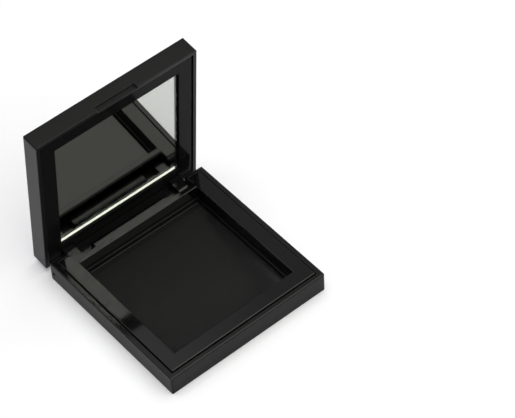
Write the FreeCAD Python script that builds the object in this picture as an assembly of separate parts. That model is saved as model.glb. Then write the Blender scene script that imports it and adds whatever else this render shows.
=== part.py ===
import FreeCAD, Part
import os

V = FreeCAD.Vector

# Square mirrored compact: a base with one pan well and a lid on two side pins.
# X runs along the hinge, Y points to the hinge side, Z is up, and the origin is
# the middle of the underside. All sizes are in millimetres.

# Pan well and the frame around it
well_side = 50.2            # square opening for the pan
well_offset = 0.2           # the well sits a little towards the hinge
rim_width = 5.15            # flat rim of the frame at the left and right
frame_wall = 1.0            # moulded wall of the pan frame
frame_depth = 5.0           # top of the rim down to the ledge
frame_rise = 0.35           # the rim stands this far above the base lip
frame_fit = 0.45            # gap between the rim and the base walls, seen as a dark line
well_fit = 0.2              # gap between the well wall and the hinge wall behind it
rim_edge = 0.25             # softened edges of the rim
ledge_width = 0.6           # narrow ledge between the well wall and the floor pocket
ledge_rise = 2.2            # ledge above the floor

# Base shell
base_wall = 1.8             # outer wall, seen as the lip
base_floor = 1.2            # floor plate
skirt_gap = 0.2             # the frame's skirt stops short of the floor

# Outer edges
corner_radius = 0.7         # upright corners
outer_edge = 0.4            # long outer edges
rear_edge_radius = 1.8      # rear edges of the base, which the lid swings round

# Lid and mirror, as a stack from the lip to the top face
parting_gap = 0.15          # line between the two lips when shut
lid_wall = 1.45             # outer wall, seen as the lip
lid_recess = 0.4            # lip down to the bezel; takes the raised rim
mirror_recess = 0.75        # bezel down to the glass
mirror_thickness = 1.2
tape_thickness = 0.2
pocket_floor = 1.0          # back of the mirror pocket
lid_air = 1.75              # space between the pocket and the lid top
lid_top = 1.7               # top plate of the lid
bezel_width = 5.7           # bezel at the left and right of the mirror
bezel_fit = 0.2             # gap between the mirror frame and the lid walls
bezel_wall = 1.2            # moulded wall of the mirror frame
mirror_offset = -0.2        # the mirror sits a little towards the thumb notch
mirror_gap = 0.2            # gap between the glass and its pocket
tape_inset = 2.0            # the tape stops short of the glass edge

# Hinge
lug_radius = 2.0            # rounded end of a lid lug, flush with the rear face
lug_width = 4.4
lug_side_gap = 0.3          # lug to the cheek of the cut-out
lug_floor_gap = 0.5         # lug to the floor under it
lug_front_gap = 1.2         # lug to the front wall of the cut-out
ear_width = 7.1             # base corner beside the cut-out
cheek_wall = 1.6            # wall that carries the pin on the inner side of an ear
skirt_thickness = 1.5       # skirt of the lid's rear wall, between the lugs
skirt_lift = 0.4            # end of the skirt above the pin axis
skirt_root = 0.8            # the skirt runs this far into the lid
barrel_spacing = 5.3        # plain skirt between a lug and the round barrel at the centre
pin_radius = 0.75
pin_running_fit = 0.05      # radial clearance of the pin in a lug
pin_inset = 1.0             # the pin ends below the side face
pin_end_gap = 0.3           # the pin stops short of the lug's inner face
pin_chamfer = 0.2

# Thumb notch and snap beads
notch_width = 16.0
notch_height = 1.9
notch_depth = 0.9
bead_length = 14.0
bead_bite = 0.15            # the bead reaches this far into the wall beside it
bead_fit = 0.1

# How far the lid stands open at rest
open_angle = 84.5

# Sizes that follow
well_half = well_side / 2
frame_half = well_half + rim_width
base_inner = frame_half + frame_fit
case_half = base_inner + base_wall
case_side = 2 * case_half
ledge_top = base_floor + ledge_rise
rim_top = ledge_top + frame_depth
lip_top = rim_top - frame_rise
plate_bottom = rim_top - frame_wall
well_rear = well_offset + well_half
rib_inner = well_half - ledge_width
rib_outer = well_half + frame_wall + well_fit

lid_lip = lip_top + parting_gap
bezel_face = lid_lip + lid_recess
mirror_face = bezel_face + mirror_recess
mirror_back = mirror_face + mirror_thickness
tape_back = mirror_back + tape_thickness
pocket_back = tape_back + pocket_floor
lid_ceiling = pocket_back + lid_air
lid_crown = lid_ceiling + lid_top
lid_inner = case_half - lid_wall
bezel_half = lid_inner - bezel_fit
window_half = bezel_half - bezel_width
mirror_half = window_half - mirror_gap

axis_y = case_half - lug_radius
axis_z = base_floor + lug_floor_gap + lug_radius
cutout_half = case_half - ear_width
cutout_front = axis_y - lug_radius - lug_front_gap
lug_outer = cutout_half - lug_side_gap
lug_inner = lug_outer - lug_width
barrel_half = lug_inner - barrel_spacing
beyond = case_side          # reach of a cut that runs right out of the part
bead_height = (ledge_top + plate_bottom) / 2
bead_radius = frame_fit + bead_bite
lid_bead_height = (bezel_face + lid_ceiling) / 2
lid_bead_radius = bezel_fit + bead_bite


def box(x0, x1, y0, y1, z0, z1):
    """Upright block between two corners."""
    return Part.makeBox(x1 - x0, y1 - y0, z1 - z0, V(x0, y0, z0))


def square(half, z0, z1, offset=0.0):
    """Square block of the given half side, moved along Y by offset."""
    return box(-half, half, offset - half, offset + half, z0, z1)


def ring(outer, inner, z0, z1, offset=0.0):
    """Square wall between two half sides."""
    return square(outer, z0, z1, offset).cut(square(inner, z0, z1, offset))


def rounded_face(a0, a1, b0, b1, radii, place):
    """Rectangle with four corner arcs; radii start at (a0, b0) and go round by a1."""
    corners = [(a0, b0, 1, 1), (a1, b0, -1, 1), (a1, b1, -1, -1), (a0, b1, 1, -1)]
    centres = [(a + sa * r, b + sb * r) for (a, b, sa, sb), r in zip(corners, radii)]
    turned = 0.5 ** 0.5
    edges = []
    last = None
    first = None
    for index, ((a, b, sa, sb), r) in enumerate(zip(corners, radii)):
        ca, cb = centres[index]
        on_b_side = (ca, b)
        on_a_side = (a, cb)
        start, end = (on_a_side, on_b_side) if index % 2 == 0 else (on_b_side, on_a_side)
        middle = (ca - sa * r * turned, cb - sb * r * turned)
        if last:
            edges.append(Part.makeLine(place(*last), place(*start)))
        edges.append(Part.Arc(place(*start), place(*middle), place(*end)).toShape())
        first = first or start
        last = end
    edges.append(Part.makeLine(place(*last), place(*first)))
    return Part.Face(Part.Wire(edges))


def rounded_block(z0, z1, front, rear, sides):
    """Case-sized block; front, rear and sides are (bottom, top) edge radii."""
    side_view = rounded_face(
        -case_half, case_half, z0, z1, (front[0], rear[0], rear[1], front[1]),
        lambda a, b: V(-case_half, a, b)).extrude(V(case_side, 0, 0))
    front_view = rounded_face(
        -case_half, case_half, z0, z1, (sides[0], sides[0], sides[1], sides[1]),
        lambda a, b: V(a, -case_half, b)).extrude(V(0, case_side, 0))
    plan = rounded_face(
        -case_half, case_half, -case_half, case_half, (corner_radius,) * 4,
        lambda a, b: V(a, b, z0)).extrude(V(0, 0, z1 - z0))
    return side_view.common(front_view).common(plan)


def rod(x0, x1, y, z, radius):
    """Round bar along X."""
    return Part.makeCylinder(radius, x1 - x0, V(x0, y, z), V(1, 0, 0))


def side_beads(half, z, radius):
    """Half-round snap beads along the left and right faces at the given half width."""
    beads = []
    for side in (-1, 1):
        start = V(side * half, -bead_length / 2, z)
        beads.append(Part.makeCylinder(radius, bead_length, start, V(0, 1, 0)))
    return beads


def hinge_cutout():
    """Space behind the rim where the lid's lugs and barrel turn, open to the rear."""
    return box(-cutout_half, cutout_half, cutout_front, beyond, base_floor, beyond)


def make_base_shell():
    """Thin-walled base with the pan ledge, the hinge cut-out and the pin bores."""
    long_edges = (outer_edge, outer_edge)
    rear_edges = (rear_edge_radius, rear_edge_radius)
    shell = rounded_block(0, lip_top, long_edges, rear_edges, long_edges)
    shell = shell.cut(square(base_inner, base_floor, beyond))
    ledge = ring(rib_outer, rib_inner, base_floor, ledge_top, well_offset)
    rear_wall_front = well_offset + rib_outer
    cheek_outer = cutout_half + cheek_wall
    hinge_walls = box(-cheek_outer, cheek_outer, rear_wall_front, base_inner, base_floor, plate_bottom)
    shell = shell.fuse([ledge, hinge_walls])
    bore_reach = case_half + pin_inset
    bores = [rod(-bore_reach, -lug_inner, axis_y, axis_z, pin_radius),
             rod(lug_inner, bore_reach, axis_y, axis_z, pin_radius)]
    grooves = side_beads(frame_half, bead_height, bead_radius + bead_fit)
    return shell.cut([hinge_cutout()] + bores + grooves).removeSplitter()


def make_pan_frame():
    """Raised glossy rim with the well wall inside and a skirt that drops into the base."""
    plate = square(frame_half, plate_bottom, rim_top)
    skirt = ring(frame_half, frame_half - frame_wall, base_floor + skirt_gap, rim_top)
    skirt_end = well_rear + frame_wall
    skirt = skirt.cut(box(-beyond, beyond, skirt_end, beyond, 0, plate_bottom))
    well_wall = square(well_half + frame_wall, ledge_top, rim_top, well_offset)
    frame = plate.fuse([skirt, well_wall] + side_beads(frame_half, bead_height, bead_radius))
    frame = frame.cut([square(well_half, 0, beyond, well_offset), hinge_cutout()]).removeSplitter()
    return soften_level(frame, rim_top, rim_edge)


def soften_level(shape, level, radius):
    """Round every straight edge that lies flat at the given height."""
    edges = [e for e in shape.Edges
             if abs(e.BoundBox.ZMin - level) < 1e-6 and abs(e.BoundBox.ZMax - level) < 1e-6]
    return shape.makeFillet(radius, edges)


def make_lid_shell():
    """Lid with its lip, thumb notch, two pin lugs and the hinge barrel, drawn shut."""
    lip_edges = (outer_edge / 2, outer_edge)
    shell = rounded_block(lid_lip, lid_crown, lip_edges, lip_edges, lip_edges)
    shell = shell.cut(square(lid_inner, 0, lid_ceiling))
    skirt_end = axis_z + skirt_lift
    skirt_top = lid_lip + skirt_root
    grown = [box(-lug_outer, lug_outer, case_half - skirt_thickness, case_half, skirt_end, skirt_top),
             rod(-barrel_half, barrel_half, axis_y, axis_z, lug_radius)]
    bores = []
    for x0, x1 in ((-lug_outer, -lug_inner), (lug_inner, lug_outer)):
        grown.append(rod(x0, x1, axis_y, axis_z, lug_radius))
        grown.append(box(x0, x1, axis_y - lug_radius, case_half, axis_z, lid_ceiling))
        bores.append(rod(x0, x1, axis_y, axis_z, pin_radius + pin_running_fit))
    shell = shell.fuse(grown)
    notch = box(-notch_width / 2, notch_width / 2, -beyond, notch_depth - case_half,
                0, lid_lip + notch_height)
    grooves = side_beads(bezel_half, lid_bead_height, lid_bead_radius + bead_fit)
    return shell.cut([notch] + bores + grooves).removeSplitter()


def make_mirror_frame():
    """Glossy bezel with a pocket for the glass and a skirt that stands on the lid ceiling."""
    bezel = square(bezel_half, bezel_face, bezel_face + bezel_wall)
    skirt = ring(bezel_half, bezel_half - bezel_wall, bezel_face, lid_ceiling)
    pocket = square(window_half + bezel_wall, bezel_face, pocket_back, mirror_offset)
    frame = bezel.fuse([skirt, pocket] + side_beads(bezel_half, lid_bead_height, lid_bead_radius))
    notches = []
    for side in (-1, 1):
        centre = side * (lug_inner + lug_outer) / 2
        half = lug_width / 2 + lug_side_gap
        notches.append(box(centre - half, centre + half, axis_y - lug_radius - bezel_fit, beyond,
                           0, beyond))
    window = square(window_half, 0, tape_back, mirror_offset)
    frame = frame.cut(notches + [window]).removeSplitter()
    return soften_level(frame, bezel_face, rim_edge)


def make_mirror():
    """Square glass plate, silvered on its back."""
    return square(mirror_half, mirror_face, mirror_back, mirror_offset)


def make_mirror_tape():
    """Adhesive sheet between the glass and the pocket floor."""
    return square(mirror_half - tape_inset, mirror_back, tape_back, mirror_offset)


def make_hinge_pin(side):
    """Plain pin from below the side face, through the ear, into the lug."""
    near = lug_inner + pin_end_gap
    far = case_half - pin_inset
    pin = rod(near, far, axis_y, axis_z, pin_radius)
    pin = pin.makeChamfer(pin_chamfer, [e for e in pin.Edges if e.Closed])
    return pin if side > 0 else pin.mirror(V(0, 0, 0), V(1, 0, 0))


def opened(shape):
    """Turn a lid piece from shut to its open rest position about the pin axis."""
    turned = shape.copy()
    turned.rotate(V(0, axis_y, axis_z), V(1, 0, 0), -open_angle)
    return turned


pieces = {
    "base_shell": make_base_shell(),
    "pan_frame": make_pan_frame(),
    "lid_shell": opened(make_lid_shell()),
    "mirror_frame": opened(make_mirror_frame()),
    "mirror": opened(make_mirror()),
    "mirror_tape": opened(make_mirror_tape()),
    "hinge_pin_left": make_hinge_pin(-1),
    "hinge_pin_right": make_hinge_pin(1),
}

os.makedirs("parts", exist_ok=True)
for name, shape in pieces.items():
    shape.exportStep("parts/" + name + ".step")
    size = shape.BoundBox
    print(name, len(shape.Solids), shape.isValid(), round(shape.Volume, 2),
          [round(v, 2) for v in (size.XMin, size.XMax, size.YMin, size.YMax, size.ZMin, size.ZMax)])
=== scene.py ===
import math
from collections import namedtuple

import bmesh
import bpy
from mathutils import Matrix, Vector


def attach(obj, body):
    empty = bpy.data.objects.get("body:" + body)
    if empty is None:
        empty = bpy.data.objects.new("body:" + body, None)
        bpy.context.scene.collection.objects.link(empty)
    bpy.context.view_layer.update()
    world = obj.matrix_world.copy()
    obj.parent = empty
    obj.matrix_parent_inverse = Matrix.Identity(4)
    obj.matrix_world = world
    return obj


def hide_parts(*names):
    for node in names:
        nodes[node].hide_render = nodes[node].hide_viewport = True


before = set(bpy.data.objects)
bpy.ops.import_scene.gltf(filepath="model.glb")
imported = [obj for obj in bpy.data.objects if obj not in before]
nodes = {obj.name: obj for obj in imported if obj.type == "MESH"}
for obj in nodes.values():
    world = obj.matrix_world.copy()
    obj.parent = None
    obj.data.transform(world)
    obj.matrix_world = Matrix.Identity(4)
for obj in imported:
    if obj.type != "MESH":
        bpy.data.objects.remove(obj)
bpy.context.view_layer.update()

scene = bpy.context.scene

# Lengths are in metres and colours are linear.

# Camera, in the frame of the case: angles in degrees, sensor in millimetres
IMAGE_WIDTH = 515
FOCAL_PIXELS = 2344.364
CAMERA_PLACE = Vector((-0.281484, -0.405536, 0.606771))
CAMERA_AZIMUTH = -37.629
CAMERA_ELEVATION = 49.186
CAMERA_ROLL = -3.367
CAMERA_CLIP = (0.01, 20)
SENSOR_WIDTH = 36.0

# The lid stands open at this angle from shut, and the back of its mirror faces this way.
OPEN_ANGLE = math.radians(84.5)
LID_BACK = Vector((0, math.sin(OPEN_ANGLE), math.cos(OPEN_ANGLE)))

# Mirror: glass with fine chamfers, and a metal coat set a little into its back
GLASS_CHAMFER = 0.00008
COAT_DEPTH = 0.00002
GLASS_IOR = 1.52
GLASS_COLOURS = ((0.925, 0.945, 0.905), (0.935, 0.952, 0.915))
# The coat is darker than silver: it paints the shade of the floor that the mirror shows.
COAT_COLOURS_WITH_SHADE = ((0.62, 0.62, 0.615), (0.64, 0.64, 0.635))
MERGE_DISTANCE = 1e-7
FLAT_ANGLE = math.radians(1)
BACK_TOLERANCE = 1e-5
BACK_COSINE = 0.999

# Steel of the pins, darker than bare steel as painted shade in the pin holes, and adhesive behind
# the glass
STEEL_AND_SHADE_COLOURS = ((0.2, 0.2, 0.205), (0.32, 0.32, 0.325))
TAPE_COLOURS = ((0.7, 0.69, 0.65), (0.82, 0.81, 0.78))

# Black plastics: the two ends of a slow drift in colour, and the colour of rubbed edges; the
# base's pale edge colour is wear and also a painted highlight along its edges and the well's ledge
Blacks = namedtuple("Blacks", "dark pale worn")
# The base's edge colour, far paler than the others, paints the highlight that its rounded edges
# and the well's ledge catch.
BASE_BLACKS = Blacks((0.003, 0.003, 0.0032), (0.005, 0.005, 0.0053), (0.09, 0.09, 0.092))
LID_BLACKS = Blacks((0.003, 0.003, 0.0034), (0.005, 0.005, 0.0057), (0.012, 0.012, 0.0128))
RIM_BLACKS = Blacks((0.0025, 0.0025, 0.0026), (0.0042, 0.0042, 0.0044), (0.010, 0.010, 0.0105))
BEZEL_BLACKS = Blacks((0.0060, 0.0060, 0.0061), (0.0080, 0.0080, 0.0082), (0.011, 0.011, 0.0115))
SHELL_IOR = 1.4
RIM_IOR = 1.48
# The mirror frame is the same gloss black as the rim; its low IOR, which dims its reflections, is
# painted shade of the floor it reflects.
BEZEL_IOR = 1.12

# Finish of the plastics: roughness with its spread, fine grain, and hair scratches along X
Finish = namedtuple("Finish", "rough spread grain_scale grain_depth")
SATIN = Finish(rough=0.38, spread=0.04, grain_scale=2600, grain_depth=0.000005)
GLOSS = Finish(rough=0.07, spread=0.015, grain_scale=1600, grain_depth=0.000002)
GRAIN_STRENGTH = 0.25
DRIFT_SCALE = 55
HAIR_SCALE = 240
HAIR_STRETCH = (1.0, 26.0, 26.0)
HAIR_SHARE = 0.6
EDGE_RADIUS = 0.00035
EDGE_SAMPLES = 4
EDGE_COSINES = (0.86, 0.995)
# Share of the edge colour along edges; in the base this spreads the painted edge highlight.
EDGE_WEAR_AND_HIGHLIGHT = (0.1, 0.6)

# Shine of the two shells: dull outside, smoother on the base lip, the lid's hinge and rubbed edges
BASE_SHINE = 0.185
LID_SHINE = 0.268
SMOOTH_SHINE = 0.56
SMOOTH_ROUGHNESS = 0.13
LIP_LEVEL = 0.008
HINGE_Y = 0.0305
HINGE_Z = 0.0037
HINGE_REACH = 0.0044

# Floor of the well: a smooth finish whose texture leans a little to the hinge side and the left
WELL_HALF = 0.0245
WELL_MIDDLE_Y = 0.0002
WELL_FLOOR_TOP = 0.0014
WELL_LEAN = (-0.17, 0.147, 0.0)
WELL_COLOUR = (0.0136, 0.0134, 0.0142)
WELL_SHINE = 0.64
WELL_ROUGHNESS = 0.17

# Studio: one softbox, and a dim room that is lighter at the rear and darker to the right
SOFTBOX_PLACE = (0.3, -0.42, 1.0)
SOFTBOX_SIZE = (1.4, 1.66)
SOFTBOX_RADIANCE = 2.05
SOFTBOX_COLOUR = (0.985, 1.0, 0.9)
ROOM_FRONT = 0.12
ROOM_REAR = 0.71
ROOM_FADE = (-0.5, 0.5)
ROOM_RIGHT = 0.45
ROOM_EDGE = (0.33, 0.385)

# Paper sweep: its tint makes up for that of the softbox
FLOOR_COLOUR = (0.808, 0.8, 0.862)
FLOOR_GLOW = 0.2
FLOOR_RADIUS = 2.4
WALL_RADIUS = 3.0
WALL_HEIGHT = 0.9
BEND_STEPS = 8
STAGE_STEPS = 96
STAGE_MERGE = 1e-6


class Nodes:
    """Small helper that adds nodes to one tree and joins them up."""

    def __init__(self, tree):
        self.tree = tree

    def add(self, kind, **settings):
        node = self.tree.nodes.new(kind)
        for key, value in settings.items():
            setattr(node, key, value)
        return node

    def link(self, source, target):
        self.tree.links.new(source, target)

    def axes(self, vector):
        """Separate X, Y and Z of a vector."""
        split = self.add("ShaderNodeSeparateXYZ")
        self.link(vector, split.inputs["Vector"])
        return split.outputs

    def spread(self, value, low, high, start=0.3, end=0.7):
        """Value from start to end, mapped to low to high and held there outside."""
        node = self.add("ShaderNodeMapRange")
        node.inputs["From Min"].default_value = start
        node.inputs["From Max"].default_value = end
        node.inputs["To Min"].default_value = low
        node.inputs["To Max"].default_value = high
        self.link(value, node.inputs["Value"])
        return node.outputs["Result"]

    def combine(self, first, second, operation="ADD"):
        """Sum, or the result of another operation, of two numbers or outputs."""
        node = self.add("ShaderNodeMath", operation=operation)
        for slot, value in enumerate((first, second)):
            if isinstance(value, (int, float)):
                node.inputs[slot].default_value = value
            else:
                self.link(value, node.inputs[slot])
        return node.outputs["Value"]


class Shader(Nodes):
    """Nodes of one new material."""

    def __init__(self, name):
        self.material = bpy.data.materials.new(name)
        self.material.use_nodes = True
        super().__init__(self.material.node_tree)
        self.tree.nodes.clear()
        self.output = self.add("ShaderNodeOutputMaterial")
        self.place = self.add("ShaderNodeTexCoord").outputs["Object"]

    def principled(self):
        node = self.add("ShaderNodeBsdfPrincipled")
        self.link(node.outputs["BSDF"], self.output.inputs["Surface"])
        return node

    def noise(self, scale, detail=2.0, roughness=0.5, stretch=None):
        node = self.add("ShaderNodeTexNoise")
        node.inputs["Scale"].default_value = scale
        node.inputs["Detail"].default_value = detail
        node.inputs["Roughness"].default_value = roughness
        source = self.place
        if stretch:
            mapping = self.add("ShaderNodeMapping")
            mapping.inputs["Scale"].default_value = stretch
            self.link(self.place, mapping.inputs["Vector"])
            source = mapping.outputs["Vector"]
        self.link(source, node.inputs["Vector"])
        return node.outputs["Fac"]

    def blend(self, factor, first, second):
        """Colour between first and second, each a colour or another colour output."""
        node = self.add("ShaderNodeMix", data_type="RGBA")
        for slot, value in ((6, first), (7, second)):
            if isinstance(value, tuple):
                node.inputs[slot].default_value = (*value, 1.0)
            else:
                self.link(value, node.inputs[slot])
        self.link(factor, node.inputs["Factor"])
        return node.outputs[2]

    def mottle(self, pattern, first, second):
        """Colour that drifts from first to second with a noise pattern."""
        return self.blend(self.spread(pattern, 0.0, 1.0), first, second)

    def change(self, value, mask, amount):
        """Value with the amount added where the mask is 1."""
        return self.combine(value, self.combine(mask, amount, "MULTIPLY"))

    def soft_edges(self):
        """Normal that rounds the edges, and a mask that is 1 along them and 0 on flats."""
        bevel = self.add("ShaderNodeBevel", samples=EDGE_SAMPLES)
        bevel.inputs["Radius"].default_value = EDGE_RADIUS
        geometry = self.add("ShaderNodeNewGeometry")
        dot = self.add("ShaderNodeVectorMath", operation="DOT_PRODUCT")
        self.link(bevel.outputs["Normal"], dot.inputs[0])
        self.link(geometry.outputs["Normal"], dot.inputs[1])
        return bevel.outputs["Normal"], self.spread(dot.outputs["Value"], 1.0, 0.0, *EDGE_COSINES)

    def bump(self, height, strength, distance, normal=None):
        node = self.add("ShaderNodeBump")
        node.inputs["Strength"].default_value = strength
        node.inputs["Distance"].default_value = distance
        self.link(height, node.inputs["Height"])
        if normal:
            self.link(normal, node.inputs["Normal"])
        return node.outputs["Normal"]

    def lean(self, normal, mask, tilt):
        """Tip the normal by the tilt where the mask is 1."""
        tip = self.add("ShaderNodeVectorMath", operation="SCALE")
        tip.inputs[0].default_value = tilt
        self.link(mask, tip.inputs["Scale"])
        total = self.add("ShaderNodeVectorMath", operation="ADD")
        self.link(normal, total.inputs[0])
        self.link(tip.outputs["Vector"], total.inputs[1])
        unit = self.add("ShaderNodeVectorMath", operation="NORMALIZE")
        self.link(total.outputs["Vector"], unit.inputs[0])
        return unit.outputs["Vector"]

    def well_floor_mask(self):
        """1 on the floor of the pan well, 0 elsewhere."""
        x, y, z = self.axes(self.place)
        along_y = self.combine(y, WELL_MIDDLE_Y, "SUBTRACT")
        inside_x = self.combine(self.combine(x, 0.0, "ABSOLUTE"), WELL_HALF, "LESS_THAN")
        inside_y = self.combine(self.combine(along_y, 0.0, "ABSOLUTE"), WELL_HALF, "LESS_THAN")
        low = self.combine(z, WELL_FLOOR_TOP, "LESS_THAN")
        raised = self.combine(z, WELL_FLOOR_TOP / 2, "GREATER_THAN")
        return self.combine(self.combine(inside_x, inside_y, "MULTIPLY"),
                            self.combine(low, raised, "MULTIPLY"), "MULTIPLY")

    def lip_mask(self):
        """1 on the parting face of the base."""
        return self.combine(self.axes(self.place)["Z"], LIP_LEVEL, "GREATER_THAN")

    def hinge_mask(self):
        """1 close to the pin axis, on the lid's lugs, skirt and barrel."""
        _, y, z = self.axes(self.place)
        across = self.combine(self.combine(y, HINGE_Y, "SUBTRACT"), 2.0, "POWER")
        upward = self.combine(self.combine(z, HINGE_Z, "SUBTRACT"), 2.0, "POWER")
        return self.combine(self.combine(across, upward), HINGE_REACH ** 2, "LESS_THAN")


def moulded_black(name, blacks, ior, finish, shine=None, smooth_part=None, has_well=False):
    """Black moulded plastic: slow colour drift, fine grain and slightly rubbed edges, which in the
    base also carry a painted highlight.

    A shell also has its own shine, a mask of the part that is smoother than the rest,
    and in the base the floor of the well.
    """
    shader = Shader(name)
    body = shader.principled()
    body.inputs["IOR"].default_value = ior
    drift = shader.noise(DRIFT_SCALE, detail=4)
    grain = shader.noise(finish.grain_scale, detail=3, roughness=0.6)
    hairs = shader.noise(HAIR_SCALE, stretch=HAIR_STRETCH)
    rounding, along_edges = shader.soft_edges()
    # Rubbed edges; in the base their pale colour is also a painted highlight.
    rubbed_and_highlit = shader.combine(along_edges, shader.spread(drift, *EDGE_WEAR_AND_HIGHLIGHT), "MULTIPLY")
    colour = shader.blend(rubbed_and_highlit, shader.mottle(drift, blacks.dark, blacks.pale), blacks.worn)
    satin = shader.spread(grain, finish.rough - finish.spread, finish.rough + finish.spread)
    scratches = shader.spread(hairs, 0.0, finish.spread * HAIR_SHARE, start=0.62, end=0.8)
    gloss = shader.combine(satin, scratches)
    normal = shader.bump(grain, GRAIN_STRENGTH, finish.grain_depth, rounding)
    if smooth_part:
        smooth = shader.combine(smooth_part(shader), along_edges, "MAXIMUM")
        gloss = shader.change(gloss, smooth, SMOOTH_ROUGHNESS - finish.rough)
        level = shader.spread(smooth, shine, SMOOTH_SHINE, start=0.0, end=1.0)
        if has_well:
            floor = shader.well_floor_mask()
            gloss = shader.change(gloss, floor, WELL_ROUGHNESS - finish.rough)
            level = shader.change(level, floor, WELL_SHINE - shine)
            normal = shader.lean(normal, floor, WELL_LEAN)
            colour = shader.blend(floor, colour, WELL_COLOUR)
        shader.link(level, body.inputs["Specular IOR Level"])
    shader.link(colour, body.inputs["Base Color"])
    shader.link(gloss, body.inputs["Roughness"])
    shader.link(normal, body.inputs["Normal"])
    return shader.material


def clear_glass():
    """Thin float glass with a faint green cast and a trace of dust."""
    shader = Shader("mirror_clear")
    body = shader.principled()
    body.inputs["IOR"].default_value = GLASS_IOR
    body.inputs["Transmission Weight"].default_value = 1.0
    tone = shader.noise(70, detail=3)
    dust = shader.noise(420, detail=4)
    shader.link(shader.mottle(tone, *GLASS_COLOURS), body.inputs["Base Color"])
    shader.link(shader.spread(dust, 0.0, 0.004, start=0.55, end=0.8), body.inputs["Roughness"])
    return shader.material


def silvering():
    """Metal coat on the back of the glass, darker than bare silver to paint shade into the floor
    it reflects.
    """
    shader = Shader("mirror_silver")
    body = shader.principled()
    body.inputs["Metallic"].default_value = 1.0
    tone = shader.noise(45, detail=3)
    haze = shader.noise(160)
    shader.link(shader.mottle(tone, *COAT_COLOURS_WITH_SHADE), body.inputs["Base Color"])
    shader.link(shader.spread(haze, 0.0, 0.006), body.inputs["Roughness"])
    return shader.material


def drawn_steel():
    """Steel wire with draw lines along its length, coloured dark as painted shade in the holes it
    sits in.
    """
    shader = Shader("pin_drawn_steel")
    body = shader.principled()
    body.inputs["Metallic"].default_value = 1.0
    lines = shader.noise(900, detail=3, roughness=0.6, stretch=(0.05, 1.0, 1.0))
    shader.link(shader.mottle(lines, *STEEL_AND_SHADE_COLOURS), body.inputs["Base Color"])
    shader.link(shader.spread(lines, 0.4, 0.55), body.inputs["Roughness"])
    shader.link(shader.bump(lines, strength=0.3, distance=0.00001), body.inputs["Normal"])
    return shader.material


def tape_sheet():
    """Fibrous adhesive sheet behind the glass."""
    shader = Shader("tape_sheet")
    body = shader.principled()
    fibre = shader.noise(1500, detail=5, roughness=0.65)
    shader.link(shader.mottle(fibre, *TAPE_COLOURS), body.inputs["Base Color"])
    shader.link(shader.spread(fibre, 0.6, 0.85), body.inputs["Roughness"])
    shader.link(shader.bump(fibre, strength=0.4, distance=0.00002), body.inputs["Normal"])
    return shader.material


def dress(material, *names):
    """Put one material in every slot of the named nodes."""
    for name in names:
        mesh = nodes[name].data
        if not mesh.materials:
            mesh.materials.append(material)
        for index in range(len(mesh.materials)):
            mesh.materials[index] = material


def make_mirror_plate():
    """Glass plate with fine chamfers, silvered on its back."""
    solid = bmesh.new()
    solid.from_mesh(nodes["mirror"].data)
    bmesh.ops.remove_doubles(solid, verts=solid.verts, dist=MERGE_DISTANCE)
    bmesh.ops.dissolve_limit(solid, angle_limit=FLAT_ANGLE, verts=solid.verts, edges=solid.edges)
    back = max(vertex.co.dot(LID_BACK) for vertex in solid.verts)
    for vertex in solid.verts:
        if back - vertex.co.dot(LID_BACK) < BACK_TOLERANCE:
            vertex.co -= LID_BACK * COAT_DEPTH
    bmesh.ops.bevel(solid, geom=solid.edges[:], offset=GLASS_CHAMFER, segments=1, affect="EDGES")
    bmesh.ops.recalc_face_normals(solid, faces=solid.faces)
    for face in solid.faces:
        face.material_index = 1 if face.normal.dot(LID_BACK) > BACK_COSINE else 0
    mesh = bpy.data.meshes.new("mirror_plate")
    solid.to_mesh(mesh)
    solid.free()
    mesh.materials.append(clear_glass())
    mesh.materials.append(silvering())
    plate = bpy.data.objects.new("mirror_plate", mesh)
    scene.collection.objects.link(plate)
    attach(plate, "lid")
    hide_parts("mirror")


def stage_material():
    """Pale paper that shows white to the lens and to reflections and keeps the shadow."""
    shader = Shader("sweep_paper")
    paper = shader.add("ShaderNodeBsdfDiffuse")
    paper.inputs["Color"].default_value = (*FLOOR_COLOUR, 1.0)
    glow = shader.add("ShaderNodeEmission")
    path = shader.add("ShaderNodeLightPath")
    seen = shader.combine(path.outputs["Is Camera Ray"], path.outputs["Is Glossy Ray"])
    seen = shader.combine(seen, path.outputs["Is Transmission Ray"])
    seen = shader.combine(seen, 1.0, "MINIMUM")
    shader.link(shader.combine(seen, FLOOR_GLOW, "MULTIPLY"), glow.inputs["Strength"])
    both = shader.add("ShaderNodeAddShader")
    shader.link(paper.outputs["BSDF"], both.inputs[0])
    shader.link(glow.outputs["Emission"], both.inputs[1])
    shader.link(both.outputs["Shader"], shader.output.inputs["Surface"])
    return shader.material


def make_stage():
    """Round floor that sweeps up into a low wall."""
    profile = [(0.0, 0.0), (FLOOR_RADIUS, 0.0)]
    bend = WALL_RADIUS - FLOOR_RADIUS
    for step in range(1, BEND_STEPS + 1):
        turn = step / BEND_STEPS * math.pi / 2
        profile.append((FLOOR_RADIUS + bend * math.sin(turn), bend * (1 - math.cos(turn))))
    profile.append((WALL_RADIUS, WALL_HEIGHT))
    sweep = bmesh.new()
    points = [sweep.verts.new((r, 0, z)) for r, z in profile]
    rails = [sweep.edges.new(pair) for pair in zip(points, points[1:])]
    bmesh.ops.spin(sweep, geom=points + rails, cent=(0, 0, 0), axis=(0, 0, 1),
                   angle=2 * math.pi, steps=STAGE_STEPS, use_merge=True)
    bmesh.ops.remove_doubles(sweep, verts=sweep.verts, dist=STAGE_MERGE)
    bmesh.ops.recalc_face_normals(sweep, faces=sweep.faces)
    mesh = bpy.data.meshes.new("sweep")
    sweep.to_mesh(mesh)
    sweep.free()
    for polygon in mesh.polygons:
        polygon.use_smooth = True
    mesh.materials.append(stage_material())
    floor = bpy.data.objects.new("sweep", mesh)
    scene.collection.objects.link(floor)


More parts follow.
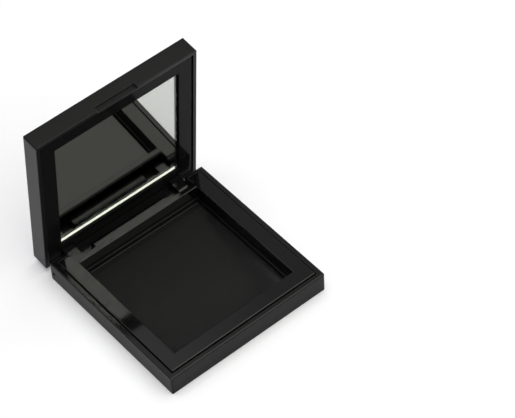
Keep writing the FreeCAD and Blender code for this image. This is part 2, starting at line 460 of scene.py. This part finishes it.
def make_softbox():
    """One wide softbox overhead."""
    lamp = bpy.data.lights.new("softbox", "AREA")
    lamp.shape = "RECTANGLE"
    lamp.size, lamp.size_y = SOFTBOX_SIZE
    lamp.color = SOFTBOX_COLOUR
    lamp.energy = SOFTBOX_RADIANCE * math.pi * lamp.size * lamp.size_y
    softbox = bpy.data.objects.new("softbox", lamp)
    softbox.location = SOFTBOX_PLACE
    softbox.visible_camera = False
    scene.collection.objects.link(softbox)


def make_room():
    """Dim white room whose strength depends on the direction."""
    world = bpy.data.worlds.new("room")
    world.use_nodes = True
    room = Nodes(world.node_tree)
    backdrop = room.tree.nodes["Background"]
    backdrop.inputs["Color"].default_value = (1.0, 1.0, 1.0, 1.0)
    direction = room.add("ShaderNodeTexCoord").outputs["Generated"]
    x, y, _ = room.axes(direction)
    rearward = room.spread(y, ROOM_FRONT, ROOM_REAR, *ROOM_FADE)
    rightward = room.spread(x, 1.0, ROOM_RIGHT, *ROOM_EDGE)
    room.link(room.combine(rearward, rightward, "MULTIPLY"), backdrop.inputs["Strength"])
    scene.world = world


def make_camera():
    """Camera at the fitted place, turned by azimuth, elevation and roll."""
    azimuth = math.radians(CAMERA_AZIMUTH)
    elevation = math.radians(CAMERA_ELEVATION)
    roll = math.radians(CAMERA_ROLL)
    back = Vector((math.sin(azimuth) * math.cos(elevation),
                   -math.cos(azimuth) * math.cos(elevation), math.sin(elevation)))
    right = Vector((0, 0, 1)).cross(back).normalized()
    up = back.cross(right)
    across = right * math.cos(roll) + up * math.sin(roll)
    upward = up * math.cos(roll) - right * math.sin(roll)
    lens = bpy.data.cameras.new("camera")
    lens.sensor_fit = "HORIZONTAL"
    lens.sensor_width = SENSOR_WIDTH
    lens.lens = FOCAL_PIXELS / IMAGE_WIDTH * SENSOR_WIDTH
    lens.clip_start, lens.clip_end = CAMERA_CLIP
    camera = bpy.data.objects.new("camera", lens)
    turn = Matrix((across, upward, back)).transposed().to_4x4()
    camera.matrix_world = Matrix.Translation(CAMERA_PLACE) @ turn
    scene.collection.objects.link(camera)
    scene.camera = camera


base_black = moulded_black("base_satin_black", BASE_BLACKS, SHELL_IOR, SATIN,
                           shine=BASE_SHINE, smooth_part=Shader.lip_mask, has_well=True)
lid_black = moulded_black("lid_satin_black", LID_BLACKS, SHELL_IOR, SATIN,
                          shine=LID_SHINE, smooth_part=Shader.hinge_mask)
rim_black = moulded_black("rim_gloss_black", RIM_BLACKS, RIM_IOR, GLOSS)
bezel_black = moulded_black("bezel_gloss_black", BEZEL_BLACKS, BEZEL_IOR, GLOSS)
dress(base_black, "base_shell")
dress(lid_black, "lid_shell")
dress(rim_black, "pan_frame")
dress(bezel_black, "mirror_frame")
dress(tape_sheet(), "mirror_tape")
dress(drawn_steel(), "hinge_pin_left", "hinge_pin_right")
make_mirror_plate()
make_stage()
make_softbox()
make_room()
make_camera()
scene.view_settings.view_transform = "Standard"
